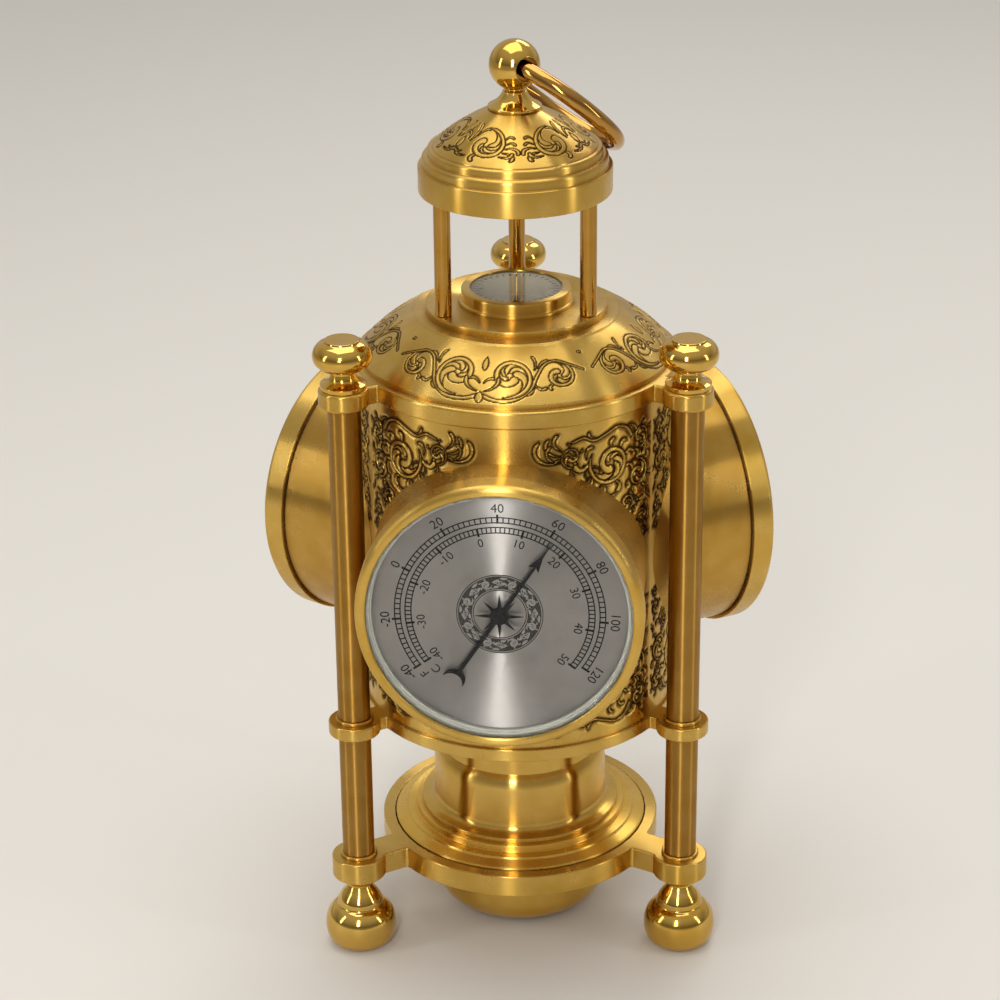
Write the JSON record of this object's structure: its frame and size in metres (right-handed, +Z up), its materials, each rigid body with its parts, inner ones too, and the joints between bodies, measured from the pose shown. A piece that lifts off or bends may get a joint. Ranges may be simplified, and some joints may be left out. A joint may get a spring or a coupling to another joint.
{
  "type": "weather station clock",
  "caption": "Free-standing gilt brass weather station clock: a round drum with a thermometer, a barometer and a clock, a compass under a small lantern, and a ring handle.",
  "frame": {"origin": "On the table under the middle of the drum: the middle of the three feet.", "axes": "+Z up, front (the thermometer dial) towards -Y, +X to the right as seen from the front."},
  "size_m": [0.1348, 0.122, 0.2453],
  "materials": {
    "gilt_brass": "polished",
    "steel": "plain",
    "silvered": "satin",
    "white_ring": "satin",
    "clear_glass": "polished",
    "hand_black": "satin",
    "copper": "satin",
    "movement_black": "matt"
  },
  "bodies": {
    "stand": {"base_plate": "gilt_brass", "base_dish": "gilt_brass", "under_cup": "gilt_brass", "pedestal": "gilt_brass", "foot_back": "gilt_brass", "foot_left": "gilt_brass", "foot_right": "gilt_brass", "lower_column_back": "gilt_brass", "lower_column_left": "gilt_brass", "lower_column_right": "gilt_brass", "upper_column_back": "gilt_brass", "upper_column_left": "gilt_brass", "upper_column_right": "gilt_brass", "column_washers": "gilt_brass", "finial_back": "gilt_brass", "finial_left": "gilt_brass", "finial_right": "gilt_brass", "lower_plate": "gilt_brass", "upper_plate": "gilt_brass", "drum_case": "gilt_brass", "thermometer_pod": "gilt_brass", "barometer_pod": "gilt_brass", "clock_pod": "gilt_brass", "shoulder": "gilt_brass", "lantern_floor": "gilt_brass", "lantern_posts": "gilt_brass", "lantern_roof": "gilt_brass", "compass_bowl": "gilt_brass", "ball_finial": "gilt_brass", "column_rods": "steel", "tie_rod": "steel", "hex_nuts": "steel", "compass_card": "silvered", "compass_glass": "clear_glass"},
    "thermometer_insert": {"thermometer_bezel": "gilt_brass", "thermometer_glass": "clear_glass", "thermometer_dial_ring": "white_ring", "thermometer_dial": "silvered", "thermometer_can": "steel", "bimetal_coil": "copper"},
    "barometer_insert": {"barometer_bezel": "gilt_brass", "barometer_glass": "clear_glass", "barometer_dial_ring": "white_ring", "barometer_dial": "silvered", "barometer_can": "steel", "aneroid_capsule": "copper"},
    "clock_insert": {"clock_bezel": "gilt_brass", "clock_glass": "clear_glass", "clock_dial_ring": "white_ring", "clock_dial": "silvered", "clock_can": "steel", "clock_movement": "movement_black"},
    "thermometer_pointer": {"thermometer_pointer": "hand_black"},
    "barometer_pointer": {"barometer_pointer": "hand_black"},
    "barometer_set_hand": {"barometer_set_hand": "gilt_brass"},
    "hour_hand": {"hour_hand": "hand_black"},
    "minute_hand": {"minute_hand": "hand_black"},
    "clock_set_knob": {"clock_set_knob": "gilt_brass"},
    "compass_needle": {"compass_needle": "hand_black"},
    "ring_handle": {"ring_handle": "gilt_brass"}
  },
  "joints": [
    {"name": "thermometer_insert_slide", "type": "slide", "parent": "stand", "child": "thermometer_insert", "axis": [-0.0741, -0.9973, 0], "range_m": [0, 0.008]},
    {"name": "barometer_insert_slide", "type": "slide", "parent": "stand", "child": "barometer_insert", "axis": [0.9007, 0.4344, 0], "range_m": [0, 0.015]},
    {"name": "clock_insert_slide", "type": "slide", "parent": "stand", "child": "clock_insert", "axis": [-0.8266, 0.5628, 0], "range_m": [0, 0.015]},
    {"name": "thermometer_pointer_turn", "type": "hinge", "parent": "thermometer_insert", "child": "thermometer_pointer", "pos_m": [-0.00399, -0.05375, 0.1135], "axis": [0.0741, 0.9973, 0], "range_deg": [-159, 94]},
    {"name": "barometer_pointer_turn", "type": "hinge", "parent": "barometer_insert", "child": "barometer_pointer", "pos_m": [0.04855, 0.02342, 0.1135], "axis": [-0.9007, -0.4344, 0], "range_deg": [-158, 122]},
    {"name": "barometer_set_turn", "type": "hinge", "parent": "barometer_insert", "child": "barometer_set_hand", "pos_m": [0.05161, 0.02489, 0.1135], "axis": [-0.9007, -0.4344, 0], "continuous": true},
    {"name": "minute_hand_turn", "type": "hinge", "parent": "clock_insert", "child": "minute_hand", "pos_m": [-0.04455, 0.03034, 0.1135], "axis": [0.8266, -0.5628, 0], "continuous": true},
    {"name": "hour_hand_turn", "type": "hinge", "parent": "clock_insert", "child": "hour_hand", "pos_m": [-0.04455, 0.03034, 0.1135], "axis": [0.8266, -0.5628, 0], "continuous": true},
    {"name": "clock_set_turn", "type": "hinge", "parent": "clock_insert", "child": "clock_set_knob", "pos_m": [-0.04455, 0.03034, 0.1135], "axis": [0.8266, -0.5628, 0], "continuous": true},
    {"name": "compass_needle_turn", "type": "hinge", "parent": "stand", "child": "compass_needle", "pos_m": [0, 0, 0.1774], "axis": [0, 0, 1], "continuous": true},
    {"name": "ring_handle_swing", "type": "hinge", "parent": "stand", "child": "ring_handle", "pos_m": [0, 0, 0.2388], "axis": [0.5446, -0.8387, 0], "range_deg": [0, 264.4]}
  ],
  "couplings": [
    {"joint": "hour_hand_turn", "follows": "minute_hand_turn", "ratio": 0.083333},
    {"joint": "clock_set_turn", "follows": "minute_hand_turn", "ratio": 1}
  ]
}
